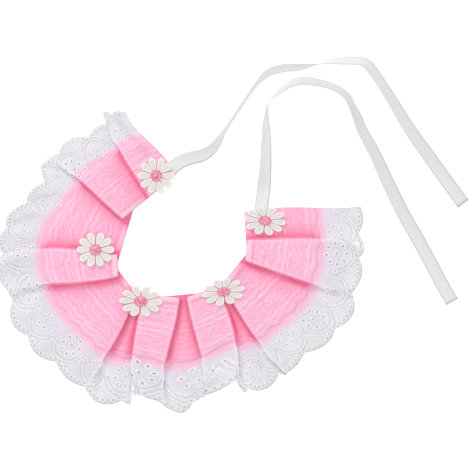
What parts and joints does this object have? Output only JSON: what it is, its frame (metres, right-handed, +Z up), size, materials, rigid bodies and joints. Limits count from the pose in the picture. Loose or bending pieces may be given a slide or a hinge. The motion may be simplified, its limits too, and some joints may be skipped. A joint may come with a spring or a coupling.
{
  "type": "pet bib",
  "caption": "Pleated lace pet bib: a pink lace trim over a deeper white eyelet one round an open neck, with sewn-on daisies and satin ribbon ties, lying flat.",
  "frame": {"origin": "middle of the lace's bounding box in plan, at the height of the surface that the bib lies on; the ribbons are left out of that box", "axes": "+Z up from the surface, +Y towards the gap in the neck, +X towards the side where the ribbons lie"},
  "size_m": [0.3395, 0.2573, 0.011],
  "materials": {
    "eyelet": "white cotton eyelet lace",
    "pink": "pink ribbed lace",
    "daisy": "cream embroidery",
    "satin": "white satin ribbon"
  },
  "bodies": {
    "root": {"eyelet_flounce": "eyelet", "pink_lace": "pink", "daisy_1": "daisy", "daisy_2": "daisy", "daisy_3": "daisy", "daisy_4": "daisy", "daisy_5": "daisy", "tie_ribbon_outer": "satin", "tie_ribbon_inner": "satin"}
  },
  "joints": []
}
